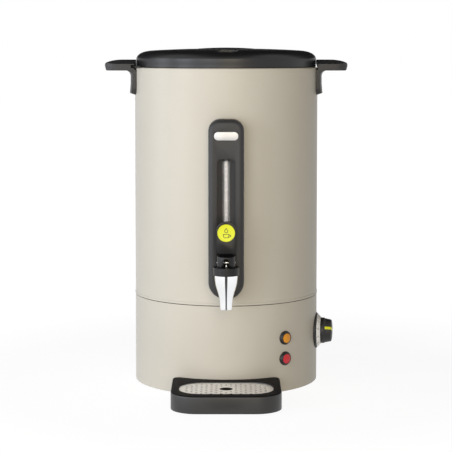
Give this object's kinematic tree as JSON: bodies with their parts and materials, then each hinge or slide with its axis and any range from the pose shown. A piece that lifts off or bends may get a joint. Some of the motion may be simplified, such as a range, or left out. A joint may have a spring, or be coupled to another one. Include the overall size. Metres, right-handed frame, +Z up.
{
  "type": "hot water urn",
  "caption": "Twist-lid hot water urn with a lever tap, a glass sight gauge, a thermostat knob, two indicator lamps, side handles and a pull-out drip tray.",
  "frame": {"origin": "on the tank's axis, in the plane that the feet stand on", "axes": "+Z up along the tank's axis, -Y to the front with the tap, +X to the knob side"},
  "size_m": [0.3512, 0.3796, 0.4861],
  "materials": {
    "shell_paint": "satin",
    "shell_seam": "matte",
    "steel_tank": "brushed",
    "zinc_plate": "satin",
    "screw_steel": "satin",
    "rubber_black": "matte",
    "heater_aluminium": "satin",
    "element_sheath": "matte",
    "ceramic_white": "matte",
    "bakelite_tan": "matte",
    "copper_pipe": "satin",
    "nylon_white": "matte",
    "wire_insulation": "matte",
    "plastic_black": "matte",
    "plastic_grey": "satin",
    "brass_pins": "satin",
    "dial_white": "satin",
    "pointer_yellow": "satin",
    "lens_amber": "gloss",
    "lens_red": "gloss",
    "plate_silver": "satin",
    "tube_glass": "clear",
    "strip_white": "gloss",
    "silicone": "matte",
    "silicone_red": "matte",
    "tap_black": "satin",
    "chrome_spout": "polished",
    "stem_steel": "polished",
    "lid_black": "satin",
    "tray_grey": "satin",
    "grid_steel": "satin"
  },
  "bodies": {
    "urn": {"body_shell": "shell_paint", "base_shell": "shell_paint", "seam_ring": "shell_seam", "tank": "steel_tank", "tank_posts": "screw_steel", "base_plate": "zinc_plate", "base_screws": "screw_steel", "feet": "rubber_black", "heater_plate": "heater_aluminium", "heating_element": "element_sheath", "boil_dry_cutout": "ceramic_white", "thermostat_body": "bakelite_tan", "capillary": "copper_pipe", "terminal_block": "nylon_white", "wiring": "wire_insulation", "power_inlet": "plastic_black", "inlet_pins": "brass_pins", "inlet_screws": "screw_steel", "dial_bezel": "plastic_black", "dial_ring": "dial_white", "lamp_bezels": "plastic_black", "amber_lens": "lens_amber", "red_lens": "lens_red", "lamp_bodies": "nylon_white", "lamp_nuts": "zinc_plate", "handle_left": "plastic_grey", "handle_right": "plastic_grey", "handle_screws": "screw_steel", "tower_housing": "plastic_grey", "tower_screws": "screw_steel", "name_plate": "plate_silver", "gauge_tube": "tube_glass", "gauge_strip": "strip_white", "gauge_seals": "silicone", "tap_body": "tap_black", "tap_bonnet": "tap_black", "tap_spacer": "nylon_white", "tap_seals": "silicone_red", "tap_nut": "steel_tank", "spout": "chrome_spout", "stem_spring": "stem_steel"},
    "lid_carrier": {"lid_seal": "silicone"},
    "lid": {"lid_cover": "lid_black", "lid_liner": "steel_tank", "steam_vent": "plastic_black", "lid_screws": "screw_steel"},
    "tap_stem": {"valve_stem": "stem_steel", "valve_seal": "silicone_red"},
    "lever": {"tap_lever": "tap_black", "lever_pin": "chrome_spout", "lever_badge": "pointer_yellow"},
    "knob": {"control_knob": "plastic_black", "knob_pointer": "pointer_yellow", "thermostat_shaft": "stem_steel"},
    "tray": {"drip_tray": "tray_grey", "tray_feet": "rubber_black"},
    "grid": {"drip_grid": "grid_steel"}
  },
  "joints": [
    {"name": "lid_lift", "type": "slide", "parent": "urn", "child": "lid_carrier", "axis": [0, 0, 1], "range_m": [0, 0.13]},
    {"name": "lid_turn", "type": "hinge", "parent": "lid_carrier", "child": "lid", "pos_m": [0, 0, 0.462], "axis": [0, 0, -1], "range_deg": [0, 18]},
    {"name": "stem_lift", "type": "slide", "parent": "urn", "child": "tap_stem", "axis": [0, 0, 1], "range_m": [0, 0.00345], "deforming": ["stem_spring"]},
    {"name": "lever_pull", "type": "hinge", "parent": "tap_stem", "child": "lever", "pos_m": [0, -0.188, 0.196], "axis": [1, 0, 0], "range_deg": [0, 30], "stiffness_Nm_per_rad": 0.1, "springref_deg": -20.05},
    {"name": "thermostat_turn", "type": "hinge", "parent": "urn", "child": "knob", "pos_m": [0.1388, -0.01827, 0.073], "axis": [-0.9914, 0.1305, 0], "range_deg": [0, 270]},
    {"name": "tray_pull", "type": "slide", "parent": "urn", "child": "tray", "axis": [0, -1, 0], "range_m": [0, 0.12]},
    {"name": "grid_lift", "type": "slide", "parent": "tray", "child": "grid", "axis": [0, 0, 1], "range_m": [0, 0.09]}
  ],
  "couplings": [
    {"joint": "stem_lift", "follows": "lever_pull", "m_per_rad": 0.006589}
  ]
}
